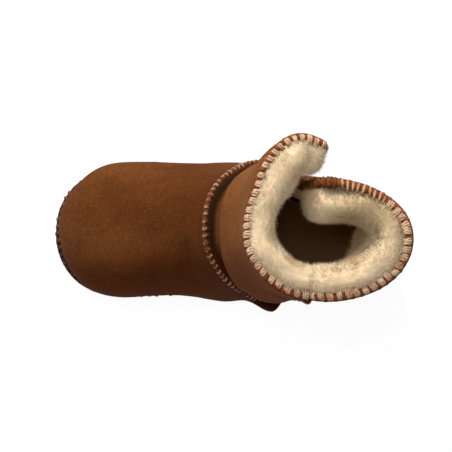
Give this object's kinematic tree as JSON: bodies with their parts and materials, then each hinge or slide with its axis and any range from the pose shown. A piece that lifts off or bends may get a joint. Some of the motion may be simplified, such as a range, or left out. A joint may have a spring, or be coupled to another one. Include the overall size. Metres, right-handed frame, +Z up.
{
  "type": "baby slipper",
  "caption": "Soft sheepskin wrap bootie for a baby's right foot: suede outside, wool inside, round toe, overcast collar and a side flap.",
  "frame": {"origin": "on the floor under the middle of the bootie's bounding box", "axes": "+Y to the heel, -Y to the toe, +X to the inner side of the foot, -X to the outer side with the flap, +Z up"},
  "size_m": [0.0598, 0.1256, 0.0895],
  "materials": {
    "suede": "napped chestnut suede, matt",
    "sole_suede": "napped dark chestnut suede, matt",
    "wool": "dense cream sheepskin pile",
    "thread": "thick pinkish tan thread, satin"
  },
  "bodies": {
    "root": {"sole": "sole_suede", "insole": "wool", "vamp": "suede", "front_panel": "suede", "back_panel": "suede"}
  },
  "joints": []
}
